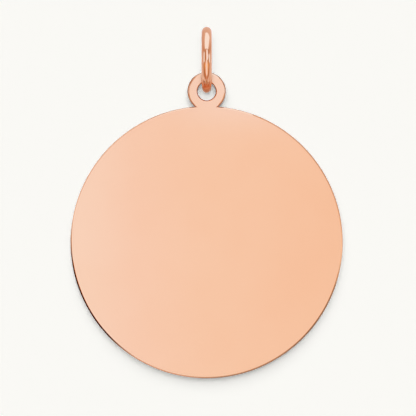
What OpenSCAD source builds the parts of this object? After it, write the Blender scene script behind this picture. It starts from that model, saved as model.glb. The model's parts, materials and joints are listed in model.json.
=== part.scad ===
// Disc charm: a plain round plate with an eye at its top, hung from a ring of wire.
//
// It is drawn as it hangs. Up is +Z, and the plate stands in the XZ plane with its
// face towards -Y. The ring stands in the YZ plane, edge on to the face. The origin
// is the top of the ring's inside, where a chain or a clasp carries the charm.
// All sizes are in millimetres.

/* [Plate] */
// Diameter of the disc
disc_d = 19; // [14:0.5:30]
// Thickness of the sheet that the disc and its eye are cut from
sheet_t = 0.46; // [0.36:0.02:0.8]
// Radius that polishing leaves along the outer edges of the sheet
edge_r = 0.1; // [0.04:0.01:0.16]

/* [Eye] */
// Outer diameter of the eye
eye_d = 2.68; // [2.5:0.02:3.2]
// Diameter of the hole through the eye
hole_d = 1.28; // [1.2:0.02:1.4]
// Height of the hole's centre above the top of the disc
hole_rise = 1.04; // [0.95:0.01:1.2]
// Radius along the edges of the hole
hole_edge_r = 0.06; // [0.02:0.01:0.12]

/* [Jump ring] */
// Outer diameter of the ring
ring_od = 4.66; // [4.4:0.02:6]
// Diameter of its wire
wire_d = 0.73; // [0.5:0.01:0.8]
// Gap left between the wire and the top of the hole that hangs on it
hang_gap = 0.06; // [0.04:0.01:0.15]

/* [Hidden] */
$fn = 120;

rose_gold = [0.95, 0.75, 0.64];

ring_mid_r = (ring_od - wire_d) / 2;
ring_z = wire_d / 2 - ring_mid_r;
hole_z = ring_z - ring_mid_r + wire_d / 2 + hang_gap - hole_d / 2;
disc_z = hole_z - hole_rise - disc_d / 2;

// One half of the cut through a flat round of sheet, from its inner to its outer
// radius. The middle of the sheet lies on the X axis. An inner radius of 0 leaves
// the round whole.
module round_section(inner_r, outer_r, inner_edge_r) {
    full_from = inner_r > 0 ? inner_r + inner_edge_r : 0;
    // Where the sheet has its full thickness, between the rounded edges
    translate([full_from, -sheet_t / 2])
        square([outer_r - edge_r - full_from, sheet_t]);
    // The straight wall of the outer edge
    translate([full_from, edge_r - sheet_t / 2])
        square([outer_r - full_from, sheet_t - 2 * edge_r]);
    for (side = [-1, 1])
        translate([outer_r - edge_r, side * (sheet_t / 2 - edge_r)])
            circle(r = edge_r);
    if (inner_r > 0) {
        // The straight wall of the hole
        translate([inner_r, inner_edge_r - sheet_t / 2])
            square([outer_r - edge_r - inner_r, sheet_t - 2 * inner_edge_r]);
        for (side = [-1, 1])
            translate([full_from, side * (sheet_t / 2 - inner_edge_r)])
                circle(r = inner_edge_r);
    }
}

// A flat round of sheet that faces along Y, with its centre at the height z
module sheet_round(z, inner_r, outer_r, inner_edge_r) {
    translate([0, 0, z])
        rotate([90, 0, 0])
            rotate_extrude()
                round_section(inner_r, outer_r, inner_edge_r);
}

// The plate: the disc and its eye, cut from one sheet
module disc() {
    color(rose_gold)
        union() {
            sheet_round(disc_z, 0, disc_d / 2, 0);
            sheet_round(hole_z, hole_d / 2, eye_d / 2, hole_edge_r);
        }
}

// The ring: round wire, closed without a gap
module jump_ring() {
    color(rose_gold)
        translate([0, 0, ring_z])
            rotate([0, 90, 0])
                rotate_extrude()
                    translate([ring_mid_r, 0])
                        circle(d = wire_d);
}

disc();
jump_ring();
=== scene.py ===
# %% [markdown]
# A disc charm in rose gold.
# A charm like this is the plainest thing that a jeweller makes: a round plate stamped from thin sheet,
# with a small eye left standing at its top, and a ring of wire through the eye. Nothing hides poor work
# on it. The eye of whoever looks at it goes to three things, and this lesson is about those three: the
# softened edge of the sheet, the way one colour drifts across a flat polished face, and the streaks of
# light and dark that a round wire gathers from a whole room.
# The construction model comes first. It is loaded as a fixed frame, and every piece made here is worked
# out from its boxes and its joint, so nothing has to be fitted by eye.

# %% Load the frame
import json
import math

import bmesh
import bpy
import numpy as np
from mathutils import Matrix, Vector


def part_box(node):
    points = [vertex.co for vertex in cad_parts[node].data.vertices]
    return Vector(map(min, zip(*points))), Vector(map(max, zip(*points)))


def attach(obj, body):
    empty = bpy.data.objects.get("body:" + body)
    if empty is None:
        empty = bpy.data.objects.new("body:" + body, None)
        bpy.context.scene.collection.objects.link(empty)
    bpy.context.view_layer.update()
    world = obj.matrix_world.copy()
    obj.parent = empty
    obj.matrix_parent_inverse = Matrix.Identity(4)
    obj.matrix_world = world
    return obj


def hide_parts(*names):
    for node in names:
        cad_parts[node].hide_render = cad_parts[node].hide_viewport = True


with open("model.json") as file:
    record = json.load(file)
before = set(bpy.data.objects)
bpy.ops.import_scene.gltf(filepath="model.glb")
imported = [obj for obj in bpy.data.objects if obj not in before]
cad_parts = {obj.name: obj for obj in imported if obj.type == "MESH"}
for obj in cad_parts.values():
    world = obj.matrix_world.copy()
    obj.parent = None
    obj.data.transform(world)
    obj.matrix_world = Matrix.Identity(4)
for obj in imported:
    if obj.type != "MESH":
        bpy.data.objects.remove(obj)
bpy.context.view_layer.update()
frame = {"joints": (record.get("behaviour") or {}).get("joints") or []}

# %% [markdown]
# Sizes.
# The charm hangs with its face towards -Y and its top towards +Z, and the ring stands edge on to the
# face. Most sizes can be read from the two boxes: the disc is as wide as its box, its centre lies one
# radius above the lowest point, and the eye turns about the hinge, which is the centre of the hole. Only
# what a box can't tell is stated: the hole's radius and the roundings that polishing leaves.

# %% Read the sizes
MM = 0.001
HOLE_R = 0.64 * MM
EDGE_R = 0.10 * MM
HOLE_EDGE_R = 0.06 * MM

plate_low, plate_high = (np.array(corner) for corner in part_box("disc"))
ring_low, ring_high = (np.array(corner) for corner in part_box("jump_ring"))
hole_z = frame["joints"][0]["pos_m"][2]

sheet_half = (plate_high[1] - plate_low[1]) / 2
disc_r = (plate_high[0] - plate_low[0]) / 2
disc_z = plate_low[2] + disc_r
eye_r = plate_high[2] - hole_z
eye_rise = hole_z - disc_z

wire_r = (ring_high[0] - ring_low[0]) / 2
ring_z = (ring_high[2] + ring_low[2]) / 2
ring_mid_r = (ring_high[2] - ring_low[2]) / 2 - wire_r

print(f"disc {2 * disc_r / MM:.2f} mm across in sheet {2 * sheet_half / MM:.2f} mm thick")
print(f"eye {2 * eye_r / MM:.2f} mm across")
print(f"ring {2 * (ring_mid_r + wire_r) / MM:.2f} mm across in {2 * wire_r / MM:.2f} mm wire")

# %% [markdown]
# Patches.
# A surface here is a patch: a grid of points worked out as one numpy array, rows by columns by x, y and
# z. The faces of a patch join each point to its neighbours, and a closed patch also joins its last
# column to its first. A piece is a few patches whose borders share the same points. Welding them gives
# one watertight mesh, with no boolean and so no ragged triangles beside the eye.

# %% A mesh from patches
WELD = 1e-7
SHARP_ANGLE = math.radians(25)


def grid_quads(rows, columns, closed):
    """Corner numbers of the quads between neighbouring points of a grid, a row for each quad."""
    row = np.arange(rows - 1)[:, None]
    column = np.arange(columns if closed else columns - 1)[None, :]
    here = row * columns + column
    beside = row * columns + (column + 1) % columns
    return np.stack([here, beside, beside + columns, here + columns], axis=-1).reshape(-1, 4)


def make_piece(name, patches):
    """One object from patches, each a grid of points and its share of edge, welded and closed."""
    points = []
    quads = []
    edge = []
    start = 0
    for grid, on_edge in patches:
        rows, columns = grid.shape[:2]
        points.append(grid.reshape(-1, 3))
        quads.append(grid_quads(rows, columns, True) + start)
        edge.append(np.broadcast_to(on_edge, (rows, columns)).reshape(-1))
        start += rows * columns
    points = np.concatenate(points)
    quads = np.concatenate(quads)
    edge = np.concatenate(edge)
    mesh = bpy.data.meshes.new(name)
    mesh.from_pydata(points.tolist(), [], quads.tolist())
    # The stored share sets each point's roughness and its painted shade.
    mesh.attributes.new("edge", "FLOAT", "POINT").data.foreach_set("value", edge.astype(np.float32))
    shape = bmesh.new()
    shape.from_mesh(mesh)
    bmesh.ops.remove_doubles(shape, verts=shape.verts, dist=WELD)
    bmesh.ops.recalc_face_normals(shape, faces=shape.faces)
    open_edges = sum(not e.is_manifold for e in shape.edges)
    volume = shape.calc_volume(signed=True) / MM**3
    shape.to_mesh(mesh)
    shape.free()
    mesh.polygons.foreach_set("use_smooth", np.ones(len(mesh.polygons), dtype=bool))
    mesh.set_sharp_from_angle(angle=SHARP_ANGLE)
    piece = bpy.data.objects.new(name, mesh)
    bpy.context.scene.collection.objects.link(piece)
    print(f"{name}: {len(mesh.polygons)} faces, {open_edges} open edges, {volume:.1f} mm3")
    return piece


# %% [markdown]
# The outline of the plate.
# On the real charm the disc and the eye are one stamping, so their outline is two circles that run into
# each other and leave a sharp notch on either side of the neck. A jeweller files no radius there, and
# none is added. The outline could be drawn once and shrunk, but a shrunk copy rounds the notch. So the
# two circles are shrunk instead, and their crossing is worked out again each time with the law of
# cosines. The crossing then slides inwards as the edge rounds over, which draws the fine crease that a
# polished notch has. A hand on a buffing wheel doesn't take the same from every stretch of an edge, so
# the width of the rounding wanders by a tenth or so on its way round. It is given at a few angles, in
# degrees clockwise from the top, as a share of the usual width. The eye's loop starts at the neck and
# runs over the top, so its angles go on past 360. The wheel can't get into a notch, so the rounding is
# narrow there, and the crossing is worked out with that narrow width.

# %% The outline at any reach
DISC_STEPS = 720
EYE_STEPS = 128
NECK_STEPS = 24
NOTCH_WIDTH = 0.6
DISC_WORN = (
    (5, NOTCH_WIDTH), (7, 0.90), (16, 0.88), (100, 0.88), (118, 1.05), (152, 1.05), (168, 0.94),
    (205, 0.90), (222, 1.08), (250, 1.12), (262, 0.90), (344, 0.86), (353, 0.90), (355, NOTCH_WIDTH),
)
EYE_WORN = (
    (215, NOTCH_WIDTH), (225, 1.02), (245, 1.05), (270, 1.20), (300, 1.12), (325, 0.95),
    (385, 0.95), (420, 0.86), (450, 1.05), (480, 1.05), (495, 1.02), (505, NOTCH_WIDTH),
)


def crossing(reach):
    """The disc's radius beside the notch, and the angles at both centres between the line of centres and
    the point where the two circles cross. The reach is how far out the loop lies: nought at the border
    of the flat face, and the whole radius of the edge at the wall."""
    big = disc_r - NOTCH_WIDTH * (EDGE_R - reach)
    small = eye_r - NOTCH_WIDTH * (EDGE_R - reach)
    at_disc = np.arccos((big**2 + eye_rise**2 - small**2) / (2 * big * eye_rise))
    at_eye = np.arccos((small**2 + eye_rise**2 - big**2) / (2 * small * eye_rise))
    return big, at_disc, at_eye


def on_circle(radius, angle, z):
    """Points (x, z) on a circle at the height z, where the angle is counted clockwise from the top."""
    return np.stack([radius * np.sin(angle), z + radius * np.cos(angle)], axis=-1)


def worn_width(angle, table):
    """The rounding's share of its usual width, in straight lines between the angles of a table."""
    places, shares = np.array(table).T
    return np.interp(angle, np.radians(places), shares)


def outline(reach):
    """A closed loop of points (x, z) for each reach: round the disc from the right crossing to the left
    one, by way of the bottom, and then back over the top of the eye."""
    reach = np.asarray(reach)[:, None]
    _, at_disc, at_eye = crossing(reach)
    disc_share = np.arange(DISC_STEPS) / DISC_STEPS
    eye_share = np.arange(EYE_STEPS) / EYE_STEPS
    round_disc = at_disc + (2 * np.pi - 2 * at_disc) * disc_share
    round_eye = np.pi + at_eye + (2 * np.pi - 2 * at_eye) * eye_share
    big = disc_r - (EDGE_R - reach) * worn_width(round_disc, DISC_WORN)
    small = eye_r - (EDGE_R - reach) * worn_width(round_eye, EYE_WORN)
    disc_part = on_circle(big, round_disc, disc_z)
    eye_part = on_circle(small, round_eye, hole_z)
    return np.concatenate([disc_part, eye_part], axis=1)


print(f"notches {2 * disc_r * math.sin(crossing(EDGE_R)[1]) / MM:.2f} mm apart")

# %% [markdown]
# The edge of the sheet.
# A stamped edge is square until it has been tumbled and buffed. Tumbling cuts the corner off first and
# rounds it afterwards, so a tumbled corner lies between a bevel and a quarter circle. It is only a tenth
# of a millimetre wide, but it is what makes the disc read as metal: it turns through every direction
# there is, so it shows the whole room as one thin line. A Bevel modifier could make it. Working it out
# is as short, and the share of edge at every point comes with it. That share makes the edge rougher and
# paints it in a much deeper tint, which is painted shade. Round the small eye the edge takes the whole
# share, and along the disc's long rim only about a third of it.

# %% The rounded edge
EDGE_STEPS = 12
EDGE_POWER = 1.2
WALL_SHARES = np.array([-0.8, 0, 0.8])
# The disc's rim takes about a third of the edge's roughness and painted shade, and the eye all of it.
DISC_DULL_AND_SHADE = 0.36


def edge_profile(radius):
    """How far the edge stands out from the flat face and its place through the sheet, from the front
    face to the back. Each corner is a superellipse: the two shares of the radius, raised to the power,
    add up to one. A power of 2 is a quarter circle and a power of 1 is a flat bevel. A few more loops
    lie on the straight wall between the corners."""
    turn = np.linspace(0, np.pi / 2, EDGE_STEPS + 1)
    out = radius * np.sin(turn) ** (2 / EDGE_POWER)
    through = -sheet_half + radius * (1 - np.cos(turn) ** (2 / EDGE_POWER))
    wall = WALL_SHARES * (sheet_half - radius)
    whole_out = np.concatenate([out, np.full(len(wall), radius), out[::-1]])
    whole_through = np.concatenate([through, wall, -through[::-1]])
    return whole_out, whole_through


def raise_loops(loops, through):
    """Loops of points (x, z) become points (x, y, z), each loop at its own place through the sheet."""
    y = np.broadcast_to(np.asarray(through)[:, None], loops.shape[:2])
    return np.stack([loops[..., 0], y, loops[..., 1]], axis=-1)


rim_out, rim_through = edge_profile(EDGE_R)
# Share of roughness and painted edge shade for each column of the rim: the disc first, then the eye.
dull_and_shade_share = np.where(np.arange(DISC_STEPS + EYE_STEPS) < DISC_STEPS, DISC_DULL_AND_SHADE, 1.0)
rim_patch = raise_loops(outline(rim_out), rim_through), (rim_out / EDGE_R)[:, None] * dull_and_shade_share
print("rim patch:", rim_patch[0].shape)

# %% [markdown]
# The flat faces.
# A face could be one polygon with a hole in it, but such a polygon is cut into long slivers when it is
# exported. Two patches cover it cleanly. One is the disc: rings that shrink to its centre. The other is
# the eye: rings that run from its outline to its hole. They share one short arc across the neck, and
# each has a narrow first ring beside its edge, which keeps the shading of the face flat. On the top of
# the eye, on either side of the wire, the face is a little rougher and painted a little deeper, as
# painted contact shade where the wire stands close. It fades out before the first and the last ring of
# points, which belong to the rounded edges.

# %% The two faces
DISC_RINGS = np.array([1, 0.995, 0.93, 0.8, 0.65, 0.5, 0.35, 0.2, 0.08, 0])
EYE_RINGS = np.array([1, 0.93, 0.5, 0.07, 0])
# Beside the wire the eye's face is rougher and painted deeper: painted contact shade.
WIRE_SHADE_WIDTH = 0.22 * MM
WIRE_DULL_AND_SHADE = 0.28

flat_loop = outline([0.0])[0]
flat_disc_r, neck_turn, _ = crossing(0.0)
neck_share = np.arange(NECK_STEPS) / NECK_STEPS
neck_left_to_right = on_circle(flat_disc_r, neck_turn * (2 * neck_share - 1), disc_z)
neck_right_to_left = on_circle(flat_disc_r, neck_turn * (1 - 2 * neck_share), disc_z)

disc_loop = np.concatenate([flat_loop[:DISC_STEPS], neck_left_to_right])
eye_loop = np.concatenate([flat_loop[DISC_STEPS:], neck_right_to_left])


def between(first, last, shares):
    """Loops that lie between two loops: a share of 1 is the first loop, and a share of 0 the last."""
    shares = shares[:, None, None]
    return shares * first + (1 - shares) * last


disc_centre = np.array([0.0, disc_z])
hole_centre = np.array([0.0, hole_z])
towards_eye = eye_loop - hole_centre
towards_eye /= np.linalg.norm(towards_eye, axis=1, keepdims=True)
hole_loop = hole_centre + (HOLE_R + HOLE_EDGE_R) * towards_eye

disc_rings = between(disc_loop, disc_centre, DISC_RINGS)
eye_rings = between(eye_loop, hole_loop, EYE_RINGS)
beside_wire = np.clip(1 - (np.abs(eye_rings[..., 0]) - wire_r) / WIRE_SHADE_WIDTH, 0, 1)
# Painted contact shade and roughness beside the wire, only above the hole's centre.
dull_and_shaded_by_wire = WIRE_DULL_AND_SHADE * beside_wire * (eye_rings[..., 1] > hole_z)
dull_and_shaded_by_wire[[0, -1]] = 0
face_patches = [
    (raise_loops(rings, np.full(len(rings), side * sheet_half)), share)
    for rings, share in ((disc_rings, 0.0), (eye_rings, dull_and_shaded_by_wire))
    for side in (-1, 1)
]
print("face patches:", [patch[0].shape for patch in face_patches])

# %% [markdown]
# The hole.
# The hole is punched with the blank and softened with it. Its wall is the same profile as the rim,
# turned inwards: the edge stands out from the flat face towards the hole's centre. Its edge is rougher
# and painted a deeper tint, as painted shade, and the upper half has more of both than the lower half.
# A share above one makes the edge fully rough and shaded before it has turned all the way.

# %% The wall of the hole
# Roughness and painted shade on the hole's edge, in its lower and in its upper half.
LOWER_DULL_AND_SHADE = 0.7
UPPER_DULL_AND_SHADE = 1.6

hole_out, hole_through = edge_profile(HOLE_EDGE_R)
hole_radii = (HOLE_R + HOLE_EDGE_R - hole_out)[:, None, None]
hole_loops = hole_centre + hole_radii * towards_eye
upper_share = np.clip(0.5 + towards_eye[:, 1], 0, 1)
hole_dull_and_shade_share = LOWER_DULL_AND_SHADE + (UPPER_DULL_AND_SHADE - LOWER_DULL_AND_SHADE) * upper_share
hole_edge = np.minimum((hole_out / HOLE_EDGE_R)[:, None] * hole_dull_and_shade_share, 1)
hole_patch = raise_loops(hole_loops, hole_through), hole_edge
plate = make_piece("plate", [rim_patch, *face_patches, hole_patch])

# %% [markdown]
# The jump ring.
# The ring is round wire bent to a circle and soldered shut, and the joint is filed away, so it is a
# plain torus: a small circle carried round a large one. Blender has a torus to add, but a grid of two
# angles says the same in a few lines, and it can tell which stretch of the wire lies in the eye. That
# stretch is made rougher and painted a deeper colour, as painted shade, and the eye wears it a little
# thinner than the rest. The grid has many steps both ways, because a mirror on a curve shows every flat
# of a coarse mesh.

# %% The ring of wire
RING_STEPS = 224
WIRE_STEPS = 72
# Where the wire turns rough and is painted deeper, as painted shade: sines of 50 and 60 degrees.
DULL_AND_SHADE_FROM = math.sin(math.radians(50))
DULL_AND_SHADE_TO = math.sin(math.radians(60))
THIN_FROM = math.sin(math.radians(45))
THIN_SHARE = 0.14


def torus_patch():
    """A circle of the wire's radius carried round the ring's circle, which stands in the YZ plane, and
    the share of rough wire with painted shade, which grows from 50 to 60 degrees below the ring's
    centre. From 45 degrees down the radius shrinks with the sine of the angle. The first row is repeated
    as the last, and welding closes it."""
    along = np.linspace(0, 2 * np.pi, RING_STEPS + 1)[:, None]
    across = np.linspace(0, 2 * np.pi, WIRE_STEPS, endpoint=False)[None, :]
    thin = np.clip((-np.sin(along) - THIN_FROM) / (1 - THIN_FROM), 0, 1)
    here_r = wire_r * (1 - THIN_SHARE * thin)
    from_axis = ring_mid_r + here_r * np.cos(across)
    x = here_r * np.sin(across)
    dull_and_shaded = np.clip((-np.sin(along) - DULL_AND_SHADE_FROM) / (DULL_AND_SHADE_TO - DULL_AND_SHADE_FROM), 0, 1)
    return np.stack([x, from_axis * np.cos(along), ring_z + from_axis * np.sin(along)], axis=-1), dull_and_shaded


ring = make_piece("ring", [torus_patch()])

# %% [markdown]
# What moves with what.
# The ring stays with the chain that it hangs on, and the plate swings in it from side to side.

# %% Tie the pieces to the frame
ties = (
    (plate, "pendant", "disc", "plate"),
    (ring, "ring", "jump_ring", "ring"),
)
for piece, body, node, slot in ties:
    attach(piece, body)
    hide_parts(node)
    print(f"{piece.name} stands in for {node} and moves with {body}")

# %% [markdown]
# Node groups.
# Both pieces are the same gold, so what happens to gold is written once, as groups with named inputs,
# and each material sets its own values. A group puts out only numbers, colours and heights, and the
# shader stays in the material.


# %% Helpers for nodes
def new_group(name, inputs, outputs):
    """An empty shader group with named inputs and outputs, and its two end nodes."""
    group = bpy.data.node_groups.new(name, "ShaderNodeTree")
    for label, kind, value in inputs:
        socket = group.interface.new_socket(name=label, in_out="INPUT", socket_type=kind)
        if value is not None:
            socket.default_value = value
    for label, kind in outputs:
        group.interface.new_socket(name=label, in_out="OUTPUT", socket_type=kind)
    return group, group.nodes.new("NodeGroupInput"), group.nodes.new("NodeGroupOutput")


def add(tree, kind, settings=None, **sockets):
    """A node of one kind, with its settings, and with each named socket set or linked. An underscore in
    a name stands for a space, and _6 for the socket at place 6, where names repeat or say little."""
    node = tree.nodes.new(kind)
    for label, value in (settings or {}).items():
        setattr(node, label, value)
    for label, value in sockets.items():
        place = int(label[1:]) if label[0] == "_" else label.replace("_", " ")
        if isinstance(value, bpy.types.NodeSocket):
            tree.links.new(value, node.inputs[place])
        else:
            node.inputs[place].default_value = value
    return node


# %% [markdown]
# Buffing lines.
# A buffed face looks perfect until it is close. Then it has hairlines in each direction that the wheel
# crossed it, and under them a slow waviness that the wheel leaves in soft metal. Three stretched noises
# at different angles give the lines, and one large noise gives the waves. Real scratches could be drawn
# one by one, but a noise covers the whole face and the wire with no seam.

# %% Group: buffing
LINE_ANGLES = (8, 67, 128)
ALONG_A_LINE = 0.04


def make_buffing():
    """The height of hairlines plus waves, and the hairlines alone. A line is a noise whose scale is
    small along it and large across it, and the lines are the mean of one such noise for each angle."""
    group, given, out = new_group(
        "Buffing",
        [
            ("Vector", "NodeSocketVector", None),
            ("Lines per metre", "NodeSocketFloat", 9000.0),
            ("Line depth", "NodeSocketFloat", 0.2),
            ("Waves per metre", "NodeSocketFloat", 300.0),
            ("Wave depth", "NodeSocketFloat", 1.0),
        ],
        [("Height", "NodeSocketFloat"), ("Lines", "NodeSocketFloat")],
    )
    total = 0.0
    for angle in LINE_ANGLES:
        turned = add(
            group, "ShaderNodeMapping", {"vector_type": "POINT"},
            Vector=given.outputs["Vector"],
            Rotation=(0, math.radians(angle), 0), Scale=(ALONG_A_LINE, 1, 1),
        )
        noise = add(
            group, "ShaderNodeTexNoise", {"noise_dimensions": "3D"},
            Vector=turned.outputs["Vector"], Scale=given.outputs["Lines per metre"], Detail=2.0,
        )
        summed = add(group, "ShaderNodeMath", {"operation": "ADD"}, _0=total, _1=noise.outputs["Fac"])
        total = summed.outputs[0]
    lines = add(group, "ShaderNodeMath", {"operation": "DIVIDE"}, _0=total, _1=float(len(LINE_ANGLES)))
    waves = add(
        group, "ShaderNodeTexNoise", {"noise_dimensions": "3D"},
        Vector=given.outputs["Vector"], Scale=given.outputs["Waves per metre"], Detail=1.0,
    )
    deep_lines = add(
        group, "ShaderNodeMath", {"operation": "MULTIPLY"},
        _0=lines.outputs[0], _1=given.outputs["Line depth"],
    )
    deep_waves = add(
        group, "ShaderNodeMath", {"operation": "MULTIPLY"},
        _0=waves.outputs["Fac"], _1=given.outputs["Wave depth"],
    )
    height = add(
        group, "ShaderNodeMath", {"operation": "ADD"}, _0=deep_lines.outputs[0], _1=deep_waves.outputs[0]
    )
    group.links.new(height.outputs[0], out.inputs["Height"])
    group.links.new(lines.outputs[0], out.inputs["Lines"])
    return group


buffing = make_buffing()
print("group:", buffing.name, "with", len(buffing.nodes), "nodes")

# %% [markdown]
# Tone.
# Red gold isn't quite one colour. Copper comes forward a little where it has been handled or heated.
# Along an edge the tint is much deeper, and that deeper tint is painted shade.


# %% Group: gold tone and painted edge shade
def make_tone_and_edge_shade():
    """A mix of a pale and a deep gold by a slow noise, and from there towards the painted edge shade by
    the share of edge."""
    group, given, out = new_group(
        "Gold tone and edge shade",
        [
            ("Vector", "NodeSocketVector", None),
            ("Patches per metre", "NodeSocketFloat", 160.0),
            ("Pale", "NodeSocketColor", (1, 1, 1, 1)),
            ("Deep", "NodeSocketColor", (1, 1, 1, 1)),
            ("At the edge", "NodeSocketColor", (1, 1, 1, 1)),
            ("Edge", "NodeSocketFloat", 0.0),
        ],
        [("Color", "NodeSocketColor")],
    )
    patches = add(
        group, "ShaderNodeTexNoise", {"noise_dimensions": "3D"},
        Vector=given.outputs["Vector"], Scale=given.outputs["Patches per metre"], Detail=3.0,
    )
    soft = add(
        group, "ShaderNodeMapRange", {"interpolation_type": "SMOOTHSTEP"},
        Value=patches.outputs["Fac"], From_Min=0.3, From_Max=0.7,
    )
    face = add(
        group, "ShaderNodeMix", {"data_type": "RGBA"},
        _0=soft.outputs["Result"], _6=given.outputs["Pale"], _7=given.outputs["Deep"],
    )
    whole = add(
        group, "ShaderNodeMix", {"data_type": "RGBA"},
        _0=given.outputs["Edge"], _6=face.outputs[2], _7=given.outputs["At the edge"],
    )
    group.links.new(whole.outputs[2], out.inputs["Color"])
    return group


tone_and_edge_shade = make_tone_and_edge_shade()
print("group:", tone_and_edge_shade.name, "with", len(tone_and_edge_shade.nodes), "nodes")

# %% [markdown]
# The gold.
# Metal has no colour of its own under its shine: all that shows is the reflection, tinted. So the
# material is a fully metallic Principled shader, its base colour is the tint, and the roughness says how
# far the room is blurred. Both go from the face's value to the edge's value with the share of edge that
# is stored in the mesh, and the edge's much deeper tint is painted shade. The hairlines also raise and
# lower the roughness of the face a little, as fine scratches do.


# %% A polished gold
def make_gold(name, tints, roughness, buffed, height):
    """A gold from its tints (pale, deep and the painted shade at the edge), its roughness (on the face,
    at the edge and how much the lines change it), its buffing (the inputs of the group by name) and the
    height in metres that the buffing stands for."""
    material = bpy.data.materials.new(name)
    material.use_nodes = True
    tree = material.node_tree
    tree.nodes.clear()
    place = add(tree, "ShaderNodeTexCoord")
    edge = add(tree, "ShaderNodeAttribute", {"attribute_name": "edge", "attribute_type": "GEOMETRY"})
    pale, deep, edge_shade_tint = tints
    on_face, on_edge, by_lines = roughness
    tone = add(
        tree, "ShaderNodeGroup", {"node_tree": tone_and_edge_shade},
        Vector=place.outputs["Object"], Pale=pale, Deep=deep, At_the_edge=edge_shade_tint,
        Edge=edge.outputs["Fac"],
    )
    polish = add(
        tree, "ShaderNodeGroup", {"node_tree": buffing}, Vector=place.outputs["Object"], **buffed
    )
    grain = add(
        tree, "ShaderNodeMapRange",
        Value=polish.outputs["Lines"], From_Min=0.35, From_Max=0.65,
        To_Min=on_face - by_lines, To_Max=on_face + by_lines,
    )
    rough = add(
        tree, "ShaderNodeMix", {"data_type": "FLOAT"},
        _0=edge.outputs["Fac"], _2=grain.outputs["Result"], _3=on_edge,
    )
    bump = add(
        tree, "ShaderNodeBump", Strength=1.0, Distance=height, Height=polish.outputs["Height"]
    )
    gold = add(
        tree, "ShaderNodeBsdfPrincipled",
        Base_Color=tone.outputs["Color"], Metallic=1.0, Roughness=rough.outputs[0],
        Normal=bump.outputs["Normal"],
    )
    finish = add(tree, "ShaderNodeOutputMaterial")
    tree.links.new(gold.outputs["BSDF"], finish.inputs["Surface"])
    return material


# %% [markdown]
# Sheet and wire.
# The two pieces are the same alloy but come from the bench by different ways. The plate has been buffed
# flat, so it is a little softer and has slow waves. The wire was drawn and tumbled and is close to a
# mirror. The painted shade on the plate's rounded edge is much deeper in colour than the painted shade
# on the dull stretch of wire.

# %% The two finishes
sheet_gold = make_gold(
    "Rose gold sheet, buffed",
    # Tints: pale, deep, and at the edge a much deeper one that is painted shade.
    tints=[(0.981, 0.603, 0.413, 1), (0.976, 0.587, 0.394, 1), (0.470, 0.255, 0.145, 1)],
    roughness=(0.08, 0.24, 0.012),
    buffed={"Lines_per_metre": 9000.0, "Line_depth": 0.02, "Waves_per_metre": 260.0, "Wave_depth": 1.0},
    height=2e-6,
)
wire_gold = make_gold(
    "Rose gold wire, mirror polished",
    # Tints: pale, deep, and on the dull stretch a little deeper one that is painted shade.
    tints=[(0.97, 0.600, 0.415, 1), (0.965, 0.585, 0.395, 1), (0.88, 0.50, 0.32, 1)],
    roughness=(0.06, 0.32, 0.01),
    buffed={"Lines_per_metre": 14000.0, "Line_depth": 0.02, "Waves_per_metre": 900.0, "Wave_depth": 0.1},
    height=1e-6,
)
plate.data.materials.append(sheet_gold)
ring.data.materials.append(wire_gold)
print("materials:", [m.name for m in bpy.data.materials if m.users])

# %% [markdown]
# The light tent.
# Polished metal is lit by what it can see, so the work goes into what stands round it. Jewellery is
# photographed in a tent of white cloth with panels and cards about it. Here the tent is a ball of points
# round the ring, and a panel is laid on it by direction: so many degrees to the right of the lens, and
# so many above it. A panel that is the same on both sides is given by how far aside it lies. A border
# that is past every direction, either way, isn't there at all. Cards in a modelled room could do the
# same, but each would have to be aimed. A direction can be worked out, because every place on a round
# wire shows one. The tent glows by itself and is seen only in reflections.

# %% Directions on the tent
TENT_R = 80 * MM
AZIMUTHS = 288
ELEVATIONS = 145
PAST_ALL = 400

azimuth = np.linspace(-180, 180, AZIMUTHS, endpoint=False)[None, :]
elevation = np.linspace(-90, 90, ELEVATIONS)[:, None]
aside = np.abs(azimuth)
turn = np.radians(azimuth)
lift = np.radians(elevation)
to_right = np.sin(turn) * np.cos(lift)
to_back = -np.cos(turn) * np.cos(lift)
upwards = np.broadcast_to(np.sin(lift), to_right.shape)


def ease(value):
    """A share from 0 to 1 that starts and ends gently: three times its square minus twice its cube."""
    value = np.clip(value, 0, 1)
    return value * value * (3 - 2 * value)


def within(value, low, high, soft):
    """One from low to high and nought outside, with borders eased over the width `soft`."""
    return ease((value - low) / soft + 0.5) * ease((high - value) / soft + 0.5)


def panel(azimuths, elevations, soft):
    """A panel between two azimuths and two elevations."""
    return within(azimuth, *azimuths, soft) * within(elevation, *elevations, soft)


def front_panel(rows, soft):
    """A panel about the lens: rows of (elevation, left edge, right edge), joined by straight lines."""
    heights, lefts, rights = np.array(rows).T
    left = np.interp(elevation, heights, lefts)
    right = np.interp(elevation, heights, rights)
    return within(azimuth, left, right, soft) * within(elevation, heights[0], heights[-1], soft)


def tones(value, *stops):
    """Colours in straight lines between stops, where each stop is a value and its colour."""
    places = [place for place, _ in stops]
    channels = np.array([colour for _, colour in stops]).T
    return np.stack([np.interp(value, places, channel) for channel in channels], axis=-1)


def lay(cloth, mask, colour):
    """Lay a panel over the cloth where its mask is one."""
    return cloth + mask[..., None] * (colour - cloth)


print("tent:", to_right.shape, "points, one every", 360 / AZIMUTHS, "degrees")

# %% [markdown]
# What the wire shows.
# The wire's front has a pale stripe with a thin brown line on either side, and its flanks are a warm
# grey. So the lens looks out of a pale panel that is drawn in at its own height like an hourglass, and a
# brown frame runs round the panel. The upper half is warm at the left and white at the right, and the
# lower half is the other way round. The flat face shows only the top of the lower half, and that is
# where its slow drift from pale peach to orange comes from. Above is a square softbox, below is a brown
# table top, and a small light stands at either side. Behind the charm it is pale at its own height and
# warm grey and brown lower down. The frame gets darker towards its sides, so the face still drifts from
# one tone to another for whoever walks round the charm.

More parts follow.
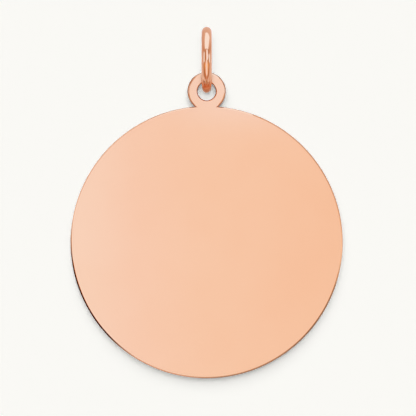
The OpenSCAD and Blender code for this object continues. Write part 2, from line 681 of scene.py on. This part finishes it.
# %% Colours of the panels
HAZE = np.array([0.75, 0.60, 0.54])
HAZE_LEFT = np.array([0.68, 0.50, 0.41])
BACKDROP_GLOW = np.array([0.84, 0.78, 0.80])
SHADE = np.array([0.60, 0.38, 0.27])
TABLE = np.array([0.52, 0.28, 0.16])
WHITE = np.array([1.00, 1.22, 1.46])
LOWER_END = np.array([0.66, 0.48, 0.38])

frame_colour = tones(
    elevation,
    (-62, (0.46, 0.22, 0.13)), (-47, (0.51, 0.24, 0.12)), (-32, (0.55, 0.28, 0.13)),
    (-18, (0.68, 0.38, 0.18)), (0, (0.56, 0.31, 0.17)), (23, (0.45, 0.21, 0.11)),
)
upper_colour = tones(
    azimuth,
    (-20, (0.95, 0.80, 0.72)), (-9, (0.95, 0.86, 0.77)),
    (0, (0.956, 1.05, 1.20)), (13, (0.97, 1.15, 1.40)),
)
lower_colour = tones(
    azimuth,
    (-25, (1.03, 1.22, 1.42)), (-8, (0.960, 1.060, 1.170)), (-5, (0.960, 0.990, 1.060)),
    (0, (0.953, 0.944, 0.935)), (8, (0.948, 0.888, 0.835)), (32, (0.93, 0.80, 0.72)),
)
drift = np.interp(aside, [36, 62], [0.30, -0.26]) * ease((-4 - elevation) / 14)
frame_colour = frame_colour * (1 + drift)[..., None]
flank_colour = tones(aside, (115, (0.86, 0.74, 0.68)), (142, (0.63, 0.46, 0.37)))
flank_colour = flank_colour * np.interp(elevation, [-45, -18], [0.72, 1.0])[..., None]
lower_colour = lower_colour + ease((-52 - elevation) / 10)[..., None] * (LOWER_END - lower_colour)
print("colours:", frame_colour.shape, upper_colour.shape, lower_colour.shape, flank_colour.shape)

# %% [markdown]
# Laying the panels.
# The panels about the lens are given by rows, from the lowest to the highest: an elevation and the left
# and right borders there. The softbox lies level above the charm like a ceiling, so it is given on that
# ceiling: a place there is so far to the right and so far to the back for each step up. Its left border
# slants, so the pale stripe that it gives the wire is wider at one end. Where a direction doesn't rise,
# a tiny rise stands in for it, so that nothing is divided by nought. A panel that is laid later covers
# what lies under it.

# %% Panels laid on the tent
NEARLY_LEVEL = 1e-6

frame_rows = [(-69, -50, 45), (-45, -72, 66), (-12, -72, 66), (0, -48, 50), (33, -46, 48)]
upper_rows = [(-1.7, -10, 22), (4, -9, 34), (12, -14, 40), (20, -18, 32), (34, -20, 26)]
lower_rows = [
    (-66, -4, 12), (-57, -11, 20), (-50, -17, 29), (-44, -22, 33),
    (-20, -22, 28), (-6, -18, 19), (2, -8, 14),
]
softbox_rows = [(-0.78, -0.84), (-0.40, -0.74), (-0.09, -0.58), (0.19, -0.34)]

up = np.maximum(upwards, NEARLY_LEVEL)
ceiling_right = to_right / up
ceiling_back = to_back / up
softbox_left = np.interp(ceiling_back, *np.array(softbox_rows).T)
softbox = within(ceiling_right, softbox_left, 0.9, 0.1) * within(ceiling_back, -1.28, 0.325, 0.1)

tent = np.broadcast_to(HAZE, (ELEVATIONS, AZIMUTHS, 3))
tent = lay(tent, panel((-155, -76), (-40, 46), 14), HAZE_LEFT)
tent = lay(tent, within(aside, 115, PAST_ALL, 30) * within(elevation, -16, 16, 20), BACKDROP_GLOW)
tent = lay(tent, within(aside, 52, 112, 24) * within(elevation, 14, 32, 14), SHADE)
tent = lay(tent, within(aside, 104, PAST_ALL, 24) * within(elevation, -66, -6, 12), flank_colour)
tent = lay(tent, panel((-PAST_ALL, PAST_ALL), (-PAST_ALL, -72), 14), TABLE)
tent = lay(tent, softbox, WHITE)
tent = lay(tent, front_panel(frame_rows, 8), frame_colour)
tent = lay(tent, front_panel(lower_rows, 5), lower_colour)
tent = lay(tent, front_panel(upper_rows, 2.6), upper_colour)
tent = lay(tent, panel((-68, -44), (-6, 21), 7), WHITE * 0.95)
tent = lay(tent, panel((52, 78), (-6, 14), 6), WHITE * 0.9)
tent = lay(tent, within(aside, 152, PAST_ALL, 20) * within(elevation, -68, -30, 20), TABLE)
print(f"tent: darkest {tent.min():.2f}, brightest {tent.max():.2f}")

# %% [markdown]
# Standing the tent up.
# The colours are stored at the points of the ball, and its material shines with them. A world shader
# could hold the same panels, but a chain of nodes for each is harder to read than one line of numpy. The
# tent is hidden from the camera and from the paper, so it is there for the gold alone.


# %% Stand the tent round the charm
def glowing(name):
    """A material that shines with the colours that are stored at the points as glow."""
    material = bpy.data.materials.new(name)
    material.use_nodes = True
    tree = material.node_tree
    tree.nodes.clear()
    stored = add(tree, "ShaderNodeAttribute", {"attribute_name": "glow", "attribute_type": "GEOMETRY"})
    light = add(tree, "ShaderNodeEmission", Color=stored.outputs["Color"], Strength=1.0)
    finish = add(tree, "ShaderNodeOutputMaterial")
    tree.links.new(light.outputs[0], finish.inputs["Surface"])
    return material


def stand(name, points, quads, colours):
    """Something that glows with its own colours and is seen only in reflections."""
    mesh = bpy.data.meshes.new(name)
    mesh.from_pydata(points.reshape(-1, 3).tolist(), [], quads.tolist())
    solid_colours = np.concatenate([colours.reshape(-1, 3), np.ones((colours.size // 3, 1))], axis=1)
    mesh.attributes.new("glow", "FLOAT_COLOR", "POINT").data.foreach_set("color", solid_colours.ravel())
    mesh.materials.append(glowing(name))
    made = bpy.data.objects.new(name, mesh)
    bpy.context.scene.collection.objects.link(made)
    made.visible_camera = False
    made.visible_diffuse = False
    made.visible_shadow = False
    return made


directions = np.stack([to_right, to_back, upwards], axis=-1)
ring_centre = np.array([0, 0, ring_z])
stand("tent", ring_centre + TENT_R * directions, grid_quads(ELEVATIONS, AZIMUTHS, True), tent)
print("tent:", len(bpy.data.meshes["tent"].polygons), "faces")

# %% [markdown]
# A hoop by the rim.
# The edge of the sheet faces sideways, so it shows what lies beside the disc and not what the face
# shows. It is nearly black at the lower left, brown at the lower right, pale at the left and buff
# elsewhere. A narrow hoop of card in those tones is bent round the disc, so close that the ring and the
# face hardly see it. Its tones are given by their bearing: so many degrees anticlockwise from the right,
# so the lowest point is at -90. It swings with the plate, because it would cut through a plate that left
# it.

# %% The hoop
HOOP_R = 10.4 * MM
HOOP_FRONT = -1.0 * MM
HOOP_BACK = 1.3 * MM
HOOP_STEPS = 140
PALE_CARD = (0.95, 1.00, 1.05)
WARM_CARD = (1.00, 0.90, 0.80)
BROWN_CARD = (0.29, 0.20, 0.13)
HAZY_CARD = (0.86, 0.82, 0.82)
BLACK_CARD = (0.06, 0.012, 0.004)

bearing = np.linspace(-244, 70, HOOP_STEPS)
hoop_colours = tones(
    bearing,
    (-244, HAZY_CARD), (-206, HAZY_CARD), (-196, PALE_CARD), (-190, PALE_CARD),
    (-180, (0.58, 0.41, 0.31)), (-171, BLACK_CARD), (-136, BLACK_CARD),
    (-122, HAZE), (-105, HAZE), (-85, (0.44, 0.34, 0.27)), (-60, (0.42, 0.33, 0.25)),
    (-40, BROWN_CARD), (-20, (0.40, 0.30, 0.21)), (-4, WARM_CARD), (10, (0.78, 0.63, 0.51)),
    (30, (0.68, 0.51, 0.39)), (70, (0.76, 0.62, 0.51)),
)
hoop_loop = on_circle(HOOP_R, np.radians(90 - bearing), disc_z)
hoop_points = raise_loops(np.stack([hoop_loop, hoop_loop]), [HOOP_FRONT, HOOP_BACK])
hoop_glow = np.stack([hoop_colours, hoop_colours])
hoop = stand("hoop", hoop_points, grid_quads(2, HOOP_STEPS, False), hoop_glow)
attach(hoop, "pendant")
print(f"hoop {(HOOP_R - disc_r) / MM:.1f} mm from the rim")

# %% [markdown]
# The backdrop.
# A pale sheet of paper hangs close behind the charm, as near as the ring lets it, so the charm's shadow
# is a thin dark crescent under the disc and inside the hole. One small lamp just above the lens gives
# the dark line along the rim, two broad ones higher up give the long fade below, and two small ones
# between them give the step where the crescent ends. They are suns, because the shadow of a lamp that is
# near would be wider than the charm. Three of them cast the shadow of the plate alone, or the ring's
# shadow would fill the hole. The rest of the paper's paleness is its own glow, so it is even all the way
# to the corners, and from behind it isn't there at all. The gold sees none of it: what it shows of the
# backdrop is on the tent.

# %% Backdrop and floor
PALE = (0.956, 0.948, 0.913)
WALL_Y = 2.6 * MM
FLOOR_Z = -70 * MM
PAPER_WIDTH = 3.0
# Each lamp: degrees to the right, degrees up and degrees across, its share of the backdrop's light, and
# whether the ring casts a shadow from it.
LAMPS = (
    (-0.2, 2.1, 2.0, 0.175, True),
    (-1.0, 7.1, 14.2, 0.20, True),
    (2.2, 6.6, 3.5, 0.115, False),
    (-4.6, 5.3, 3.2, 0.035, False),
    (-1.1, 15.0, 24.0, 0.16, False),
)


def pale_paper(name, glow):
    """Paper that glows with a share of its colour, takes the rest from the lamps, and has no back."""
    material = bpy.data.materials.new(name)
    material.use_nodes = True
    tree = material.node_tree
    tree.nodes.clear()
    lit = add(tree, "ShaderNodeBsdfDiffuse", Color=(*PALE, 1))
    shine = add(tree, "ShaderNodeEmission", Color=(*PALE, 1), Strength=glow)
    front = add(tree, "ShaderNodeAddShader", _0=lit.outputs[0], _1=shine.outputs[0])
    back = add(tree, "ShaderNodeBsdfTransparent")
    side = add(tree, "ShaderNodeNewGeometry")
    seen = add(
        tree, "ShaderNodeMixShader",
        _0=side.outputs["Backfacing"], _1=front.outputs[0], _2=back.outputs[0],
    )
    finish = add(tree, "ShaderNodeOutputMaterial")
    tree.links.new(seen.outputs[0], finish.inputs["Surface"])
    return material


def hang_paper(name, glow, location, tilt):
    """A square of paper that the gold doesn't see. It lies flat at a tilt of nought, and a quarter turn
    stands it upright."""
    corners = PAPER_WIDTH / 2 * np.array([[-1, -1, 0], [1, -1, 0], [1, 1, 0], [-1, 1, 0]])
    mesh = bpy.data.meshes.new(name)
    mesh.from_pydata(corners.tolist(), [], [(0, 1, 2, 3)])
    mesh.materials.append(pale_paper(name, glow))
    paper = bpy.data.objects.new(name, mesh)
    bpy.context.scene.collection.objects.link(paper)
    paper.location = location
    paper.rotation_euler = (tilt, 0, 0)
    paper.visible_glossy = False
    paper.visible_diffuse = False
    paper.visible_shadow = False


on_backdrop = sum(share for _, _, _, share, _ in LAMPS)
on_floor = sum(share * math.tan(math.radians(upward)) for _, upward, _, share, _ in LAMPS)
hang_paper("backdrop", 1 - on_backdrop, (0, WALL_Y, FLOOR_Z + PAPER_WIDTH / 2), math.pi / 2)
hang_paper("floor", 1 - on_floor, (0, 0, FLOOR_Z), 0)
print(f"the lamps give {on_backdrop:.2f} of the backdrop's light and {on_floor:.2f} of the floor's")

# %% [markdown]
# Lamps and sky.
# A sun's strength is what a surface gets that faces it, so each lamp's share is divided by the cosines
# of its two angles. Some lamps see only the plate as something in their way, by way of light linking.
# The charm throws no light back on the paper, or it would stand in a bright ring. The sky is as pale as
# the paper, for the views that look past it, and it lights nothing.

# %% Hang the lamps
plate_alone = bpy.data.collections.new("plate alone")
plate_alone.objects.link(plate)


def hang_lamp(to_the_right, upward, across, share, with_ring):
    """A far round lamp, so many degrees across, that gives the backdrop a share of its light. It isn't
    seen in the gold, and the ring casts a shadow from it only if it is told to."""
    across_turn = math.radians(to_the_right)
    up_turn = math.radians(upward)
    lamp = bpy.data.objects.new("lamp", bpy.data.lights.new("lamp", "SUN"))
    lamp.data.angle = math.radians(across)
    lamp.data.energy = math.pi * share / (math.cos(across_turn) * math.cos(up_turn))
    lamp.rotation_euler = (math.pi / 2 - up_turn, 0, across_turn)
    lamp.visible_glossy = False
    if not with_ring:
        lamp.light_linking.blocker_collection = plate_alone
    bpy.context.scene.collection.objects.link(lamp)


plate.visible_diffuse = False
ring.visible_diffuse = False
for lamp in LAMPS:
    hang_lamp(*lamp)

world = bpy.data.worlds.new("Studio")
world.use_nodes = True
bpy.context.scene.world = world
sky = world.node_tree
sky.nodes.clear()
sky_light = add(sky, "ShaderNodeBackground", Color=(*PALE, 1), Strength=1.0)
sky_out = add(sky, "ShaderNodeOutputWorld")
sky.links.new(sky_light.outputs[0], sky_out.inputs["Surface"])
world.cycles_visibility.diffuse = False
world.cycles_visibility.glossy = False
bpy.context.scene.view_settings.view_transform = "Standard"
print("lamps:", len(LAMPS))

# %% [markdown]
# The camera.
# The photograph is taken square on with a long lens, so the disc is a true circle and the ring is seen
# exactly edge on. The disc's centre and radius in the picture set the camera's place and its lens: the
# picture is as wide as its pixels are at the front face.

# %% Camera
PICTURE = 416
DISC_CENTRE_PX = (206.64, 242.24)
DISC_R_PX = 136.14
CAMERA_FAR = 0.3
SENSOR_MM = 36

pixel = disc_r / DISC_R_PX
aim_x = (PICTURE / 2 - DISC_CENTRE_PX[0]) * pixel
aim_z = disc_z + (DISC_CENTRE_PX[1] - PICTURE / 2) * pixel
camera = bpy.data.objects.new("Camera", bpy.data.cameras.new("Camera"))
bpy.context.scene.collection.objects.link(camera)
camera.location = (aim_x, -CAMERA_FAR, aim_z)
camera.rotation_euler = (math.pi / 2, 0, 0)
camera.data.sensor_width = SENSOR_MM
camera.data.lens = SENSOR_MM * (CAMERA_FAR - sheet_half) / (PICTURE * pixel)
camera.data.clip_start = 0.01
camera.data.clip_end = 5.0
bpy.context.scene.camera = camera
print(f"lens {camera.data.lens:.0f} mm, {pixel / MM:.4f} mm to the pixel")
